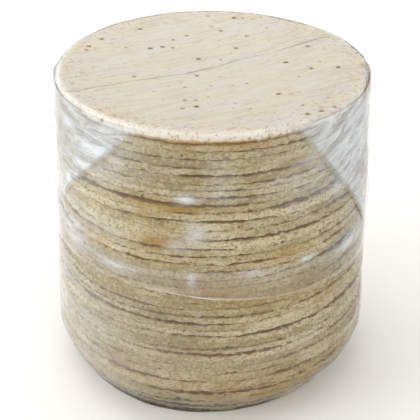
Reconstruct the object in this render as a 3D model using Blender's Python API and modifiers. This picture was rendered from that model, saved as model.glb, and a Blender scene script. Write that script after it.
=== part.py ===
"""A tall stack of small corn tortillas in clear film, in metres, +Z up.

The stack stands on z = 0 with the middle of its base at the origin. Its front faces -Y.
A bearing is an angle round the upright axis, in radians: 0 is the front, a quarter turn
is the right side (+X).

Every tortilla is one solid. Two neighbours meet at a level, a surface that both follow:
it is flat low down in the middle of the stack, turned up near the rim where the wrap
rounds the bottom corner, and slightly wavy all the way up. Level 0 is under the lowest
tortilla and level TORTILLA_COUNT is on the highest.

The wrap is two clear film covers: an open cup that holds the lower half, and a second cup
turned over the top half, whose hem comes down over the first. The upper one's spare film
is folded flat into an ear at each side.
"""

import math
import random

import bmesh
import bpy
from mathutils import Vector

MM = 0.001

# Driving dimensions.
TORTILLA_COUNT = 40
TOP_RADIUS = 52.5 * MM         # inside of the wrap at the top edge
TOTAL_HEIGHT = 111.0 * MM
WALL_FLARE = 0.068             # how much wider the wall is at the bottom corner than at the top
CORNER_HEIGHT = 0.32 * TOP_RADIUS
CORNER_STEPS = (0.26, 0.48, 0.70, 1.0)   # heights of the lower cover's rings round the corner
CORNER_INSET = 0.20 * TOP_RADIUS
CORNER_POWER = 1.25            # 1 cuts the corner off straight, 2 rounds it to an ellipse
CORNER_SKEW = 0.16             # the corner is cut deeper on the right than on the left
BASE_RADIUS = 0.83 * TOP_RADIUS
OUT_OF_ROUND = 0.15 * MM       # how much wider than round the wall is from left to right
WALL_LEAN = 0.5 * MM           # how far left of the top the bottom corner stands

FILM_THICKNESS = 0.3 * MM
GAP = 0.3 * MM                 # between any two solids that lie on each other

LIFTED_LEVELS = 16             # levels above this one are no longer turned up at the rim
RIM_LIFT = 1.6 * MM            # of level 0, at TOP_RADIUS
LIFT_POWER = 1.5
WAVE_HEIGHT = 0.42 * MM        # of a level at the rim, for its longest wave
WAVE_COUNT = 5
CALM_LEVELS = 4                # waves fade out this far from the base and from the top
PITCH_SPREAD = 0.20            # how far a tortilla is thicker or thinner than the mean

RECESS_LEAST = 0.2 * MM        # a rim never comes closer than this to the gap inside the film
RECESS_PLAY = (0.10 * MM, 0.60 * MM)
RECESS_RIPPLE = 0.30 * MM
# Tortillas that lie tucked in on one side: number, bearing, half width, depth.
TUCKED = (
    (31, math.radians(42), math.radians(48), 2.2 * MM),
    (23, math.radians(46), math.radians(30), 2.0 * MM),
    (26, math.radians(-150), math.radians(45), 1.8 * MM),
    (13, math.radians(118), math.radians(40), 1.8 * MM),
)

LOWER_HEM = 62.5 * MM          # height of the lower cover's upper edge
LOWER_HEM_SLANT = -3.0 * MM
UPPER_HEM = 53.0 * MM          # height of the upper cover's lower edge
UPPER_HEM_SLANT = -3.5 * MM
HEM_WAVE = 1.0 * MM
OVERLAP_OFFSET = FILM_THICKNESS + GAP
OVERLAP_STEP = (1.0 * MM, 3.5 * MM)   # where the upper cover closes in again, over the lower hem
STAND_OFF_HEIGHTS = (TOTAL_HEIGHT, 0.93 * TOTAL_HEIGHT, 0.80 * TOTAL_HEIGHT, 0.66 * TOTAL_HEIGHT)
# Where the upper cover stands off the tortillas: bearing, half width, height, half height, depth.
BULGES = (
    (math.radians(-95), math.radians(60), 0.90 * TOTAL_HEIGHT, 10 * MM, 0.4 * MM),
    (math.radians(88), math.radians(55), 0.63 * TOTAL_HEIGHT, 20 * MM, 0.8 * MM),
)

EAR_THICKNESS = 0.4 * MM
EAR_GAP = 0.8 * MM
EAR_TOP = TOTAL_HEIGHT - 1.5 * MM
EAR_COLUMNS = 10
EAR_ROWS = 6
EAR_TIP_WIDTH = 0.08           # of the ear's width at the top
# Name, bearing where the fold starts, bearing where it ends, bearing of its tip, drop.
EARS = (
    ("film_ear_left", math.radians(-24), math.radians(-112), math.radians(-69), 36 * MM),
    ("film_ear_right", math.radians(28), math.radians(112), math.radians(76), 50 * MM),
)

SEGMENTS = 32
SEED = 11
FIT_STEPS = 5                  # rounds in which a rim's height and radius settle on each other


def smooth_bump(distance):
    """1 at distance 0, falling smoothly to 0 at distance 1 and beyond."""
    reach = min(abs(distance), 1.0)
    return 0.5 + 0.5 * math.cos(math.pi * reach)


def turn_between(bearing, other):
    """The signed turn from one bearing to another, within half a turn."""
    return (bearing - other + math.pi) % (2 * math.pi) - math.pi


def make_settling():
    """Seeded waves, tortilla thicknesses and offsets, drawn once in a fixed order."""
    draw = random.Random(SEED)
    waves = [(draw.uniform(0, 2 * math.pi), draw.uniform(-0.55, 0.55)) for _ in range(WAVE_COUNT)]
    shares = [1 + draw.uniform(-PITCH_SPREAD, PITCH_SPREAD) for _ in range(TORTILLA_COUNT)]
    offsets = [
        (draw.uniform(0, 2 * math.pi), draw.uniform(*RECESS_PLAY), draw.uniform(0, 2 * math.pi))
        for _ in range(TORTILLA_COUNT)
    ]
    return waves, shares, offsets


WAVES, SHARES, OFFSETS = make_settling()
LOWEST_LEVEL = FILM_THICKNESS + GAP / 2
HIGHEST_LEVEL = TOTAL_HEIGHT - FILM_THICKNESS - GAP / 2


def level_middle(level):
    """Height of a level at the axis."""
    share = sum(SHARES[:level]) / sum(SHARES)
    return LOWEST_LEVEL + share * (HIGHEST_LEVEL - LOWEST_LEVEL)


def level_wave(level, bearing):
    """How far a level rises or falls at the rim, where the tortillas lie unevenly."""
    calm = min(level, TORTILLA_COUNT - level, CALM_LEVELS) / CALM_LEVELS
    total = 0.0
    for index, (phase, drift) in enumerate(WAVES):
        turns = index + 1
        total += math.cos(turns * bearing + phase + drift * level) / turns
    return WAVE_HEIGHT * calm * total


def level_height(level, radius, bearing):
    """Height of a level anywhere: its middle, its turned-up rim and its waves."""
    rise = RIM_LIFT * max(0.0, 1 - level / LIFTED_LEVELS) ** LIFT_POWER
    turned_up = max(0.0, radius - BASE_RADIUS) / (TOP_RADIUS - BASE_RADIUS)
    return level_middle(level) + rise * turned_up + level_wave(level, bearing) * radius / TOP_RADIUS


def wrap_radius(height, bearing):
    """Inside radius of the wrap: a wall that flares downwards and a rounded bottom corner."""
    wall_height = TOTAL_HEIGHT - CORNER_HEIGHT
    down = min(1.0, (TOTAL_HEIGHT - height) / wall_height)
    radius = TOP_RADIUS * (1 + WALL_FLARE * down) - WALL_LEAN * down * math.sin(bearing)
    radius -= OUT_OF_ROUND * math.cos(2 * bearing)
    if height < CORNER_HEIGHT:
        below = 1 - height / CORNER_HEIGHT
        inset = CORNER_INSET * (1 + CORNER_SKEW * math.sin(bearing))
        radius -= inset * (1 - (1 - below**CORNER_POWER) ** (1 / CORNER_POWER))
    return radius


def tuck(number, bearing):
    """Depth by which a tortilla is tucked in at a bearing."""
    depth = 0.0
    for tucked, middle, half_width, most in TUCKED:
        if tucked == number:
            depth += most * smooth_bump(turn_between(bearing, middle) / half_width)
    return depth


def recess(number, bearing):
    """How far a tortilla's rim lies inside the gap to the film."""
    side, play, phase = OFFSETS[number - 1]
    off_centre = play * (1 - math.cos(bearing - side))
    ripple = RECESS_RIPPLE * (1 + math.cos(3 * bearing + phase)) / 2
    return RECESS_LEAST + off_centre + ripple + tuck(number, bearing)


def rim_point(level, bearing, clearance, step=0.0):
    """Radius and height where a level, moved up by step, comes within clearance of the wrap."""
    radius = TOP_RADIUS
    for _ in range(FIT_STEPS):
        height = level_height(level, radius, bearing) + step
        radius = wrap_radius(height, bearing) - clearance
    return radius, level_height(level, radius, bearing) + step


def hem_wave(bearing, phase):
    """A hem's small rise and fall."""
    return HEM_WAVE * (math.sin(3 * bearing + phase) + 0.6 * math.sin(5 * bearing + 2 * phase)) / 2


def lower_hem(bearing):
    """Height of the lower cover's upper edge."""
    return LOWER_HEM + LOWER_HEM_SLANT * math.sin(bearing) + hem_wave(bearing, 0.4)


def upper_hem(bearing):
    """Height of the upper cover's lower edge."""
    return UPPER_HEM + UPPER_HEM_SLANT * math.sin(bearing) + hem_wave(bearing, 2.1)


def bulge(height, bearing):
    """How far the upper cover stands off the tortillas."""
    total = 0.0
    for middle, half_width, centre, half_height, depth in BULGES:
        across = smooth_bump(turn_between(bearing, middle) / half_width)
        total += depth * across * smooth_bump((height - centre) / half_height)
    return total


def upper_radius(height, bearing):
    """Inside radius of the upper cover over the overlap, straight from ring to ring."""
    hem_ring = lower_hem(bearing) + OVERLAP_STEP[1]
    rings = (*STAND_OFF_HEIGHTS, hem_ring)
    for above, below in zip(rings, rings[1:]):
        if height >= below:
            break
    share = (above - height) / (above - below)
    radii = [wrap_radius(ring, bearing) + bulge(ring, bearing) for ring in (above, below)]
    return radii[0] + share * (radii[1] - radii[0])


def make_material(name, colour, roughness, alpha=1.0):
    """A Principled material with one colour."""
    material = bpy.data.materials.new(name)
    material.use_nodes = True
    shader = material.node_tree.nodes["Principled BSDF"]
    shader.inputs["Base Color"].default_value = (*colour, 1.0)
    shader.inputs["Roughness"].default_value = roughness
    shader.inputs["Metallic"].default_value = 0.0
    shader.inputs["Alpha"].default_value = alpha
    return material


def face_outwards(shape):
    """Turn all faces away from the middle of the stack, also those of an open surface."""
    bmesh.ops.recalc_face_normals(shape, faces=shape.faces)
    middle = Vector((0, 0, TOTAL_HEIGHT / 2))
    outward = sum(
        face.normal.dot(face.calc_center_median() - middle) * face.calc_area()
        for face in shape.faces
    )
    if outward < 0:
        bmesh.ops.reverse_faces(shape, faces=shape.faces)


def add_object(name, shape, material, collection):
    """Turn a bmesh into a named, smooth-shaded object."""
    face_outwards(shape)
    mesh = bpy.data.meshes.new(name)
    shape.to_mesh(mesh)
    shape.free()
    mesh.shade_smooth()
    mesh.set_sharp_from_angle(angle=math.radians(35))
    mesh.materials.append(material)
    piece = bpy.data.objects.new(name, mesh)
    collection.objects.link(piece)
    return piece


def spin_profile(profile):
    """Spin a chain of (ring, side) points round the upright axis.

    A vertex keeps its ring as its distance from the axis and its side as its height, so
    that place_points can move it to its true place.
    """
    shape = bmesh.new()
    chain = [shape.verts.new((ring, 0.0, side)) for ring, side in profile]
    edges = [shape.edges.new(pair) for pair in zip(chain, chain[1:])]
    bmesh.ops.spin(
        shape, geom=chain + edges, cent=(0, 0, 0), axis=(0, 0, 1),
        angle=2 * math.pi, steps=SEGMENTS, use_merge=True,
    )
    bmesh.ops.remove_doubles(shape, verts=shape.verts, dist=0.001)
    return shape


def place_points(shape, locate):
    """Move each vertex to the radius and height that locate(ring, side, bearing) gives."""
    for vertex in shape.verts:
        ring = round(math.hypot(vertex.co.x, vertex.co.y))
        side = round(vertex.co.z)
        bearing = math.atan2(vertex.co.x, -vertex.co.y)
        radius, height = locate(ring, side, bearing)
        vertex.co = (radius * math.sin(bearing), -radius * math.cos(bearing), height)


def make_tortilla(number, material, collection):
    """One tortilla between level number - 1 and level number."""
    turned_up = number <= LIFTED_LEVELS
    rim = 2 if turned_up else 1
    under = [(ring, 0) for ring in range(rim + 1)]
    over = [(ring, 1) for ring in range(rim, -1, -1)]
    shape = spin_profile(under + over)

    def locate(ring, side, bearing):
        level = number - 1 + side
        step = GAP / 2 if side == 0 else -GAP / 2
        if ring == rim:
            return rim_point(level, bearing, GAP + recess(number, bearing), step)
        radius = BASE_RADIUS * ring
        return radius, level_height(level, radius, bearing) + step

    place_points(shape, locate)
    return add_object(f"tortilla_{number:02d}", shape, material, collection)


def add_film(name, shape, thickness, material, collection):
    """Turn an open surface that lies against the food into a film, thickened outwards."""
    piece = add_object(name, shape, material, collection)
    solidify = piece.modifiers.new("film", "SOLIDIFY")
    solidify.thickness = thickness
    solidify.offset = 1.0
    solidify.use_even_offset = True
    return piece


def make_lower_cover(material, collection):
    """The open cup of film under and round the lower half."""
    rings = 3 + len(CORNER_STEPS)
    shape = spin_profile([(ring, 0) for ring in range(rings + 1)])

    def locate(ring, _side, bearing):
        if ring == 0:
            return 0.0, FILM_THICKNESS
        if ring == 1:
            return BASE_RADIUS, FILM_THICKNESS
        if ring == 2:
            return rim_point(0, bearing, 0.0, -GAP / 2)
        if ring == rings:
            height = lower_hem(bearing)
        else:
            height = CORNER_HEIGHT * CORNER_STEPS[ring - 3]
        return wrap_radius(height, bearing), height

    place_points(shape, locate)
    return add_film("film_lower", shape, FILM_THICKNESS, material, collection)


def make_upper_cover(material, collection):
    """The cup of film turned over the upper half, its hem over the lower cover."""
    top = TOTAL_HEIGHT - FILM_THICKNESS
    first_step = 1 + len(STAND_OFF_HEIGHTS)
    rings = first_step + 2
    shape = spin_profile([(ring, 0) for ring in range(rings + 1)])

    def locate(ring, _side, bearing):
        if ring == 0:
            return 0.0, top
        if ring == 1:
            return upper_radius(top, bearing), top
        if ring < first_step:
            height = STAND_OFF_HEIGHTS[ring - 1]
            return upper_radius(height, bearing), height
        if ring == first_step:
            height = lower_hem(bearing) + OVERLAP_STEP[1]
            return upper_radius(height, bearing), height
        if ring == first_step + 1:
            height = lower_hem(bearing) + OVERLAP_STEP[0]
        else:
            height = upper_hem(bearing)
        return wrap_radius(height, bearing) + OVERLAP_OFFSET, height

    place_points(shape, locate)
    return add_film("film_upper", shape, FILM_THICKNESS, material, collection)


def make_ear(name, start, end, tip, drop, material, collection):
    """Spare film folded flat against the side: wide under the top edge, narrow at its tip."""
    shape = bmesh.new()
    bmesh.ops.create_grid(shape, x_segments=EAR_COLUMNS, y_segments=EAR_ROWS, size=0.5)
    for vertex in shape.verts:
        across = vertex.co.x + 0.5
        down = 0.5 - vertex.co.y
        width = 1 - (1 - EAR_TIP_WIDTH) * down
        bearing = tip + width * (start + across * (end - start) - tip)
        height = EAR_TOP - drop * down
        radius = upper_radius(height, bearing) + FILM_THICKNESS + EAR_GAP
        vertex.co = (radius * math.sin(bearing), -radius * math.cos(bearing), height)
    return add_film(name, shape, EAR_THICKNESS, material, collection)


def main():
    for existing in list(bpy.data.objects):
        bpy.data.objects.remove(existing, do_unlink=True)
    collection = bpy.data.collections.new("corn_tortilla_stack")
    bpy.context.scene.collection.children.link(collection)

    tortilla = make_material("corn_tortilla", (0.62, 0.50, 0.33), 0.85)
    film = make_material("clear_film", (0.90, 0.92, 0.94), 0.12, alpha=0.35)

    for number in range(1, TORTILLA_COUNT + 1):
        make_tortilla(number, tortilla, collection)
    make_lower_cover(film, collection)
    make_upper_cover(film, collection)
    for name, start, end, tip, drop in EARS:
        make_ear(name, start, end, tip, drop, film, collection)


main()
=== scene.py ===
"""A stack of small corn tortillas in clear film, dressed for rendering.

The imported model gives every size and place. Each tortilla is built again with a ragged,
crumbly rim along the rim of its solid, and the film is drawn over the rims as a thin,
creased sheet. A bearing is an angle round the upright axis: 0 is the front, and a quarter
turn is the right side. A unit in here is a metre.
"""

import math

import bpy
import numpy as np
from bpy.props import FloatProperty, FloatVectorProperty, IntProperty, PointerProperty
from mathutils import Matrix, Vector
from mathutils.bvhtree import BVHTree


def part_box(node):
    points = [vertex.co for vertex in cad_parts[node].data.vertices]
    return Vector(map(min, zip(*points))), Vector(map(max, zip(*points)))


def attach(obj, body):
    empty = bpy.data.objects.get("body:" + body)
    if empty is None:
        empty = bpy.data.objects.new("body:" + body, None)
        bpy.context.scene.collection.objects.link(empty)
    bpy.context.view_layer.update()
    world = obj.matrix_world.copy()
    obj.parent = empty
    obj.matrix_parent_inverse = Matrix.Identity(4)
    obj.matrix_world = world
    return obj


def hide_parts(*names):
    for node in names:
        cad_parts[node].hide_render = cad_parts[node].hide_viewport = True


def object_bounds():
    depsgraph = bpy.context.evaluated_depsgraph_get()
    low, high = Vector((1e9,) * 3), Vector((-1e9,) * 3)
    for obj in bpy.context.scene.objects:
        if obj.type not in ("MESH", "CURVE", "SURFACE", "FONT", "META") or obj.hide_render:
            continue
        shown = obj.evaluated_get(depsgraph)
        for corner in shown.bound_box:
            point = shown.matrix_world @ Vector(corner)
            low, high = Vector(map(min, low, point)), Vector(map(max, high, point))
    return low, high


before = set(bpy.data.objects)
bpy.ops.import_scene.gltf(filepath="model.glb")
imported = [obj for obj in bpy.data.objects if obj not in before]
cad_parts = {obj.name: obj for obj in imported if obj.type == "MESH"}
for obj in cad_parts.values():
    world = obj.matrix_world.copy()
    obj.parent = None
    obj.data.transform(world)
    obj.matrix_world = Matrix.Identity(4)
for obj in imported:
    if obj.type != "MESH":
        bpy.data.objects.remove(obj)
CAD_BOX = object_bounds()

bl_info = {
    "name": "Corn Tortilla Stack",
    "version": (1, 0, 0),
    "blender": (4, 5, 0),
    "location": "View3D > Sidebar > Tortillas",
    "description": "Builds a stack of corn tortillas in clear film with its finishes and stage",
    "category": "Object",
}

MM = 0.001
FULL_TURN = 2 * math.pi
STACK_TOP = CAD_BOX[1].z
TORTILLAS = sorted(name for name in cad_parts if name.startswith("tortilla_"))


# ---- settings


def setting(kind, **fixed):
    """A maker of settings of one kind, from a name, a description and a default."""

    def make(name, description, default):
        return kind(name=name, description=description, default=default, **fixed)

    return make


length = setting(FloatProperty, unit="LENGTH", precision=5)
any_angle = setting(FloatProperty, subtype="ANGLE")
share = setting(FloatProperty, subtype="FACTOR", min=0, max=1)
wattage = setting(FloatProperty, unit="POWER", min=0)
any_number = setting(FloatProperty)
whole_number = setting(IntProperty)
colour = setting(FloatVectorProperty, subtype="COLOR", min=0, max=1)
columns_round = setting(IntProperty, min=64)


class DoughSettings(bpy.types.PropertyGroup):
    """Shape and colours of the tortillas"""

    columns: columns_round("Columns", "Points round each rim", 480)
    seed: whole_number("Seed", "Start of the random draws", 5)
    notches: whole_number("Notches", "Chipped places on each rim", 20)
    edge_depth: length("Edge rounding", "How far in the rounded rim reaches", 0.34 * MM)
    raggedness: length("Raggedness", "How far the rim wanders in and out", 0.22 * MM)
    swell: length("Swelling", "How far a rim is thicker or thinner from place to place", 0.13 * MM)
    pale_colour: colour("Pale rim", "Dry pale dough at the rim", (0.68, 0.615, 0.415))
    rim_colour: colour("Rim", "Dough at the rim", (0.54, 0.465, 0.265))
    rich_colour: colour("Rich rim", "Darker dough at the rim", (0.355, 0.275, 0.12))
    face_colour: colour("Face", "Dough on the flat face", (0.725, 0.68, 0.585))
    stain_colour: colour("Stain", "Moist yellow stains", (0.44, 0.26, 0.03))
    toast_colour: colour("Toast", "Scorched specks", (0.13, 0.055, 0.012))
    # The gap colour is painted shade: the dark lines where two tortillas meet, drawn over the real gaps
    # in the rims.
    gap_shade_colour: colour("Gap", "Browned dough between two tortillas", (0.27, 0.15, 0.02))


class FilmSettings(bpy.types.PropertyGroup):
    """Shape and finish of the clear film"""

    columns: columns_round("Columns", "Points round the film", 400)
    seed: whole_number("Seed", "Start of the random draws", 23)
    wrinkle: length("Wrinkles", "Height of the film's wrinkles", 0.20 * MM)
    veil: share("Veil", "How milky one layer of film is", 0.006)
    ear_veil: share("Ear veil", "How milky the folded ears are", 0.08)
    # Also the colour of the painted reflections and highlights on the film.
    haze_and_reflection_colour: colour("Haze", "Film where it is folded or stretched white", (0.83, 0.89, 0.95))
    # Also the colour of the painted sheen on the lower cover.
    dull_and_sheen_colour: colour("Dull film", "Film where two sheets cling together", (0.42, 0.37, 0.31))


class StageSettings(bpy.types.PropertyGroup):
    """Floor, lights and camera"""

    floor_colour: colour("Floor", "Colour of the floor", (0.80, 0.79, 0.77))
    world_strength: any_number("World", "Strength of the light all round", 1.02)
    overhead_power: wattage("Overhead", "Light over the stack", 2.2)
    window_power: wattage("Window", "Light at the left", 3.0)
    front_power: wattage("Front", "Light behind the camera", 2.4)
    camera_back: length("Camera distance", "Level distance from the stack's axis", 0.360)
    camera_left: length("Camera offset", "How far left of the axis the camera is", 0.0007)
    camera_rise: length("Camera rise", "Height over the stack's top", 0.152)
    camera_pitch: any_angle("Camera pitch", "How far the camera looks down", math.radians(30.1))
    lens: any_number("Lens", "Focal length in millimetres", 99.2)


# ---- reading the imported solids

CORNERS = 32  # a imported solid's corners round the stack
RIM_SHARE = 0.87  # of a tortilla's radius: what lies further out is its rim
DISH_RADIUS = 43.575 * MM  # a dished tortilla turns up outside this


def spread_round(samples, count):
    """Smooth values for count places round the stack, through samples taken at even steps."""
    samples = np.asarray(samples, float)
    return np.fft.irfft(np.fft.rfft(samples), n=count) * count / len(samples)


def node_points(name):
    """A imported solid's corners as radius, bearing and height."""
    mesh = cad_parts[name].data
    points = np.empty(len(mesh.vertices) * 3)
    mesh.vertices.foreach_get("co", points)
    points = points.reshape(-1, 3)
    return np.hypot(points[:, 0], points[:, 1]), np.arctan2(points[:, 0], -points[:, 1]), points[:, 2]


def corner_of(bearing):
    """Number of the corner at each bearing."""
    return np.round(bearing / FULL_TURN * CORNERS).astype(int) % CORNERS


class Slab:
    """A packed tortilla: its lower and upper surface at every bearing."""

    def __init__(self, name, columns):
        radius, bearing, height = node_points(name)
        corner = corner_of(bearing)
        self.name = name
        self.columns = columns
        self.middle = (height[radius < MM].min(), height[radius < MM].max())
        outer = radius > RIM_SHARE * radius.max()
        ring = (radius > 0.5 * DISH_RADIUS) & ~outer
        self.rim_radius, self.rim_height, self.dish_height = [], [], []
        for side, pick in enumerate((np.argmin, np.argmax)):
            ends = []
            for number in range(CORNERS):
                here = np.flatnonzero(outer & (corner == number))
                best = here[pick(height[here])]
                ends.append((radius[best], height[best]))
            self.rim_radius.append(spread_round([r for r, _ in ends], columns))
            self.rim_height.append(spread_round([z for _, z in ends], columns))
            if ring.any():
                heights = [height[ring & (corner == number)] for number in range(CORNERS)]
                self.dish_height.append(spread_round([h[pick(h)] for h in heights], columns))
            else:
                rise = self.rim_height[side] - self.middle[side]
                self.dish_height.append(self.middle[side] + rise * DISH_RADIUS / self.rim_radius[side])

    def surface(self, side, radius):
        """Height of the lower (0) or upper (1) surface at a radius for each bearing."""
        middle, dish = self.middle[side], self.dish_height[side]
        inside = middle + (dish - middle) * radius / DISH_RADIUS
        beyond = (radius - DISH_RADIUS) / (self.rim_radius[side] - DISH_RADIUS)
        return np.where(radius < DISH_RADIUS, inside, dish + (self.rim_height[side] - dish) * beyond)


def hem_heights(name, columns, pick):
    """Height of a packed cover's free edge at each bearing: pick is min or max."""
    radius, bearing, height = node_points(name)
    corner = corner_of(bearing)
    wall = radius > DISH_RADIUS
    return spread_round([pick(height[wall & (corner == number)]) for number in range(CORNERS)], columns)


def inside_radius(name, heights, columns):
    """Radius of a packed cover's inside at each height, from rays that leave the axis; else nan."""
    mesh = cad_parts[name].data
    faces = [tuple(polygon.vertices) for polygon in mesh.polygons]
    surface = BVHTree.FromPolygons([vertex.co for vertex in mesh.vertices], faces)
    rings = np.full((len(heights), columns), np.nan)
    for row, height in enumerate(heights):
        ring = []
        for corner in range(CORNERS):
            turn = corner * FULL_TURN / CORNERS
            aim = Vector((math.sin(turn), -math.cos(turn), 0))
            reached = surface.ray_cast(Vector((0, 0, height)), aim)[0]
            ring.append(math.hypot(reached.x, reached.y) if reached else np.nan)
        ring = np.array(ring)
        known = ~np.isnan(ring)
        if known.any():
            missing, found = np.flatnonzero(~known), np.flatnonzero(known)
            ring[missing] = np.interp(missing, found, ring[found], period=CORNERS)
            rings[row] = spread_round(ring, columns)
    return rings


# ---- shapes in numbers


def bearings(columns):
    """Bearings of the columns, from the front round by the right."""
    return np.arange(columns) * FULL_TURN / columns


def turn_from(bearing, middle):
    """Signed turn from middle to bearing, within half a turn."""
    return (bearing - middle + math.pi) % FULL_TURN - math.pi


def bump(distance):
    """1 at distance 0, falling smoothly away; 0.37 at distance 1."""
    return np.exp(-np.square(distance))


def step_up(value, low, high):
    """0 below low, 1 above high, smooth between."""
    part = np.clip((value - low) / (high - low), 0, 1)
    return part * part * (3 - 2 * part)


def noise_round(random, columns, lowest, highest, fall):
    """Noise round a ring, with lowest to highest waves in a turn and unit spread."""
    waves = np.arange(columns // 2 + 1)
    strength = np.where((waves >= lowest) & (waves <= highest), np.maximum(waves, 1.0) ** -fall, 0.0)
    values = np.fft.irfft(strength * np.exp(1j * random.uniform(0, FULL_TURN, len(waves))), n=columns)
    return values / values.std()


def noise_sheet(random, rows, columns, long_rows, long_columns):
    """Smooth noise on a sheet that closes round, features about that many cells long, unit spread."""
    down = np.fft.fftfreq(rows)[:, None] * long_rows
    across = np.fft.rfftfreq(columns)[None, :] * long_columns
    strength = np.exp(-2 * (down**2 + across**2))
    spectrum = np.fft.rfft2(random.standard_normal((rows, columns))) * strength
    values = np.fft.irfft2(spectrum, s=(rows, columns))
    return (values - values.mean()) / values.std()


def patches_at(points, patches):
    """Sum of smooth patches, given by bearing and height, at each point."""
    bearing = np.arctan2(points[:, 0], -points[:, 1])
    height = points[:, 2]
    total = np.zeros(len(points))
    for middle, half_width, centre, half_height, strength in patches:
        across = turn_from(bearing, math.radians(middle)) / math.radians(half_width)
        total += strength * bump(across) * bump((height - centre * MM) / (half_height * MM))
    return total


def polar(radius, height, columns):
    """Points of one ring."""
    turn = bearings(columns)
    radius = np.broadcast_to(radius, (columns,))
    height = np.broadcast_to(height, (columns,))
    return np.stack([radius * np.sin(turn), -radius * np.cos(turn), height], axis=1)


def sheet_faces(rows, columns, closed):
    """Quads of a grid of points, joined round if closed."""
    last = columns if closed else columns - 1
    row, column = np.meshgrid(np.arange(rows - 1), np.arange(last), indexing="ij")
    after = (column + 1) % columns
    near, far = row * columns, (row + 1) * columns
    return np.stack([near + column, near + after, far + after, far + column], axis=-1).reshape(-1, 4)


def cap_faces(first, columns, tip, flip):
    """Triangles from a ring that starts at point first to a tip."""
    ends = np.arange(columns)
    pair = (first + (ends + 1) % columns, first + ends)
    if flip:
        pair = pair[::-1]
    return np.stack([*pair, np.full(columns, tip)], axis=1)


def build_mesh(name, points, faces):
    """A smooth mesh from arrays."""
    mesh = bpy.data.meshes.new(name)
    mesh.from_pydata(points.tolist(), [], faces)
    mesh.shade_smooth()
    return mesh


def ring_mesh(name, rings, low_tip=None, high_tip=None):
    """A mesh through rings from the lowest up, closed by a fan to a tip where one is given."""
    rows, columns = len(rings), len(rings[0])
    points = [np.concatenate(rings)]
    faces = sheet_faces(rows, columns, closed=True).tolist()
    count = rows * columns
    for first, tip, flip in ((0, low_tip, False), (count - columns, high_tip, True)):
        if tip is not None:
            points.append(np.array([tip]))
            faces += cap_faces(first, columns, count, flip).tolist()
            count += 1
    return build_mesh(name, np.concatenate(points), faces)


def add_values(mesh, name, values):
    """Store one number for each point, for the materials; a tip gets the last ring's."""
    full = np.full(len(mesh.vertices), float(values[-1]), np.float32)
    full[: len(values)] = values
    mesh.attributes.new(name, "FLOAT", "POINT").data.foreach_set("value", full)


def add_object(name, data):
    """Put a new object into the scene."""
    made = bpy.data.objects.new(name, data)
    bpy.context.scene.collection.objects.link(made)
    return made


def add_piece(name, mesh, material, slot, *nodes):
    """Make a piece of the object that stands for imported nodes."""
    piece = add_object(name, mesh)
    mesh.materials.append(material)
    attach(piece, "root")
    if nodes:
        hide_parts(*nodes)
    return piece


# ---- tortillas

EDGE_STATIONS = np.radians([-90, -64, -40, -14, 14, 40, 64, 90])  # up round a rim's edge
FLAT_ROWS = (0.35, 0.70, 1.0)  # of the dish radius
NEAR_RIM = (5.0 * MM, 2.2 * MM)  # in from the rim
DISH_CLEARANCE = 0.3 * MM  # of the rows near the rim, outside the dish radius
FINEST_WAVE = 239  # in one turn of a rim
NOTCH_WIDTHS = (0.006, 0.022)  # radians round the rim
NOTCH_DEPTHS = (0.15, 0.7)  # mm
LEAN = 0.22 * MM  # how far a rim's upper edge stands out past its lower edge
EDGE_GRAIN = 0.07 * MM
CRUMBLE = 0.13 * MM  # roughness where a rim is crumbly
TOP_FACE_ROWS = 56
FACE_RELIEF = (0.05 * MM, 0.02 * MM)  # broad and fine
FACE_SINK = 0.06 * MM  # of the relief's middle, under the solid's flat top
STREAK_ANGLE = math.radians(28.7)  # from the right side towards the back
STREAK_TURN = (0, 0, STREAK_ANGLE)  # the streaks and the crease of the top face lie along it
CREASE_OFFSET = 3.4 * MM  # of the long crease, behind the axis
TOP_GAP_WIDTH = math.radians(48)  # the gap under the top tortilla gapes at the front
TOP_GAP_OPENING = 0.85
TOP_GAP_DROP = 0.9 * MM
BASE_SPREAD = 0.6  # how far the lowest rim sags out, as a share of its slant
STEP_OPENING = 0.85  # of the gap over a rim that stands out
STEP_PALENESS = 0.35  # of a rim that stands out
GAP_EASE = (-1.5, 0.25)  # low down and high up: how readily gaps open
# Rims that stand out: bearing and half width in degrees, height in mm, how far out in mm.
STEPS = (
    (-4, 28, 29.5, 0.60), (12, 26, 13, 0.50), (-22, 28, 18.5, 0.40), (28, 24, 36, 0.35),
    (-28, 34, 66, 0.45), (30, 34, 72, 0.45), (34, 30, 92, 0.30), (48, 24, 60, 0.40),
    (42, 24, 50, 0.40), (-10, 40, 84, 0.35), (-50, 24, 46, 0.40), (170, 50, 30, 0.55),
    (-130, 40, 60, 0.50), (120, 36, 84, 0.45), (100, 30, 22, 0.45), (-150, 36, 88, 0.40),
)
# Stained places: bearing and half width in degrees, height and half height in mm, strength.
STAINS = (
    # The rows at 108 and 106 mm lie on the gap under the top tortilla and turn its painted shade line
    # orange.
    (-18, 9, 71, 4, 1.0), (-4, 30, 108, 1.2, 1.3), (4, 20, 106, 2, 0.5), (-23, 6, 83, 4, 0.8),
    (-12, 7, 85, 2, 0.8), (8, 14, 84, 2, 0.5), (30, 6, 96, 4, 0.9), (1, 12, 54, 3, 0.8),
    (-46, 8, 66, 4, 0.6), (25, 10, 66, 3, 0.5), (46, 8, 44, 4, 0.3), (-8, 14, 31, 3, 0.4),
    (0, 46, 13, 9, 0.35), (26, 16, 9, 4, 0.6), (-34, 12, 22, 3, 0.3), (22, 18, 50, 3, 0.5),
    (150, 20, 80, 5, 0.8), (-120, 16, 50, 5, 0.7), (110, 14, 34, 4, 0.6), (178, 12, 60, 4, 0.8),
)


class Gap:
    """The line between two tortillas: how far it gapes, 0 shut to 1 open, and how far it sinks. The
    opening shapes the rims and sets how much painted gap shade they get.
    """

    def __init__(self, random, columns, ease):
        long_wave = noise_round(random, columns, 1, 8, 0.5)
        wave = 0.9 * long_wave + 0.35 * noise_round(random, columns, 12, 90, 0.5)
        self.opening = step_up(wave + ease + random.uniform(-1.0, 0.8), -0.6, 1.9)
        self.drop = np.zeros(columns)


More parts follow.
